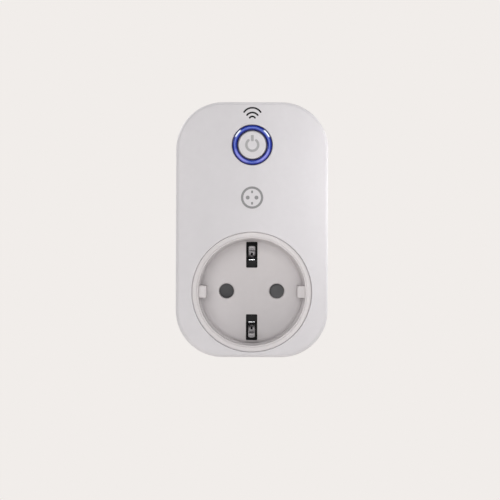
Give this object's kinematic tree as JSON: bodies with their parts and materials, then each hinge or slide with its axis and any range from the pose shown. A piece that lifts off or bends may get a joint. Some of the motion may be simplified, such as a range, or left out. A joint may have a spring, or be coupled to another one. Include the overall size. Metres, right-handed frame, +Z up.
{
  "type": "wifi range extender",
  "caption": "Plug-in Wi-Fi extender with a rounded upright housing, lit power button, earthed pass-through socket in front and a round plug with pins behind.",
  "frame": {"origin": "on the axis of the rear plug and the front socket, in the plane of the back face that seats on the wall socket", "axes": "+X to the viewer's right, +Y from the front face into the wall along the plug's pins, +Z up"},
  "size_m": [0.056, 0.074, 0.094],
  "materials": {
    "shell": "light grey-white, fine spark-eroded satin",
    "socket": "light warm grey, satin",
    "light_ring": "clear blue-lit light guide, polished",
    "button": "light grey, fine satin",
    "black_plastic": "black, moulded",
    "shutter": "dark grey, smooth",
    "spring_steel": "drawn wire",
    "brass": "stamped, satin",
    "tinned_steel": "tinned sheet, soft sheen",
    "nickel_plate": "nickel plated, polished",
    "zinc_steel": "zinc plated",
    "circuit_board": "green solder mask",
    "module_board": "dark blue-black solder mask",
    "relay_case": "blue moulded case",
    "capacitor_sleeve": "shrunk sleeve",
    "film_case": "yellow moulded box",
    "varistor_coat": "dipped blue coating",
    "fuse_body": "brown moulded cap",
    "chip_epoxy": "black epoxy",
    "ferrite": "dark ferrite with taped winding",
    "led": "clear resin over a blue chip",
    "brown_insulation": "brown wire sleeve",
    "blue_insulation": "blue wire sleeve",
    "earth_insulation": "green wire sleeve with a yellow stripe"
  },
  "bodies": {
    "housing": {"front_cover": "shell", "rear_housing": "shell", "socket_insert": "socket", "light_ring": "light_ring", "tact_switch_body": "black_plastic", "button_board": "circuit_board", "led_1": "led", "led_2": "led", "led_3": "led", "led_4": "led", "contact_carrier": "black_plastic", "shutter_spring": "spring_steel", "live_contact": "brass", "neutral_contact": "brass", "earth_bridge": "tinned_steel", "plug_pin_live": "nickel_plate", "plug_pin_neutral": "nickel_plate", "plug_earth_yoke": "tinned_steel", "main_board": "circuit_board", "relay": "relay_case", "transformer": "ferrite", "filter_capacitor": "capacitor_sleeve", "film_capacitor": "film_case", "varistor": "varistor_coat", "fuse": "fuse_body", "rectifier": "chip_epoxy", "wifi_module_board": "module_board", "wifi_shield_can": "tinned_steel", "board_link": "black_plastic", "live_wire": "brown_insulation", "neutral_wire": "blue_insulation", "relay_output_wire": "brown_insulation", "neutral_link_wire": "blue_insulation", "earth_wire": "earth_insulation", "housing_screw_1": "zinc_steel", "housing_screw_2": "zinc_steel", "housing_screw_3": "zinc_steel", "housing_screw_4": "zinc_steel", "board_screw_1": "zinc_steel", "board_screw_2": "zinc_steel", "carrier_screw_1": "zinc_steel", "carrier_screw_2": "zinc_steel"},
    "button": {"power_button": "button"},
    "switch_plunger": {"tact_switch_plunger": "black_plastic"},
    "shutter": {"socket_shutter": "shutter"},
    "upper_clip": {"earth_clip_upper": "tinned_steel"},
    "lower_clip": {"earth_clip_lower": "tinned_steel"}
  },
  "joints": [
    {"name": "button_press", "type": "slide", "parent": "housing", "child": "button", "axis": [0, 1, 0], "range_m": [0, 0.0005], "stiffness_N_per_m": 600, "springref_m": -0.002},
    {"name": "plunger_press", "type": "slide", "parent": "housing", "child": "switch_plunger", "axis": [0, 1, 0], "range_m": [0, 0.0005]},
    {"name": "shutter_turn", "type": "hinge", "parent": "housing", "child": "shutter", "pos_m": [0, -0.0167, 0], "axis": [0, 1, 0], "range_deg": [0, 40], "stiffness_Nm_per_rad": 0.01, "springref_deg": -17.19},
    {"name": "upper_clip_flex", "type": "hinge", "parent": "housing", "child": "upper_clip", "pos_m": [0, -0.0159, 0.0122], "axis": [-1, 0, 0], "range_deg": [0, 5], "stiffness_Nm_per_rad": 0.4, "springref_deg": -2.86},
    {"name": "lower_clip_flex", "type": "hinge", "parent": "housing", "child": "lower_clip", "pos_m": [0, -0.0159, -0.0122], "axis": [1, 0, 0], "range_deg": [0, 5], "stiffness_Nm_per_rad": 0.4, "springref_deg": -2.86}
  ],
  "couplings": [
    {"joint": "plunger_press", "follows": "button_press", "ratio": 1}
  ]
}
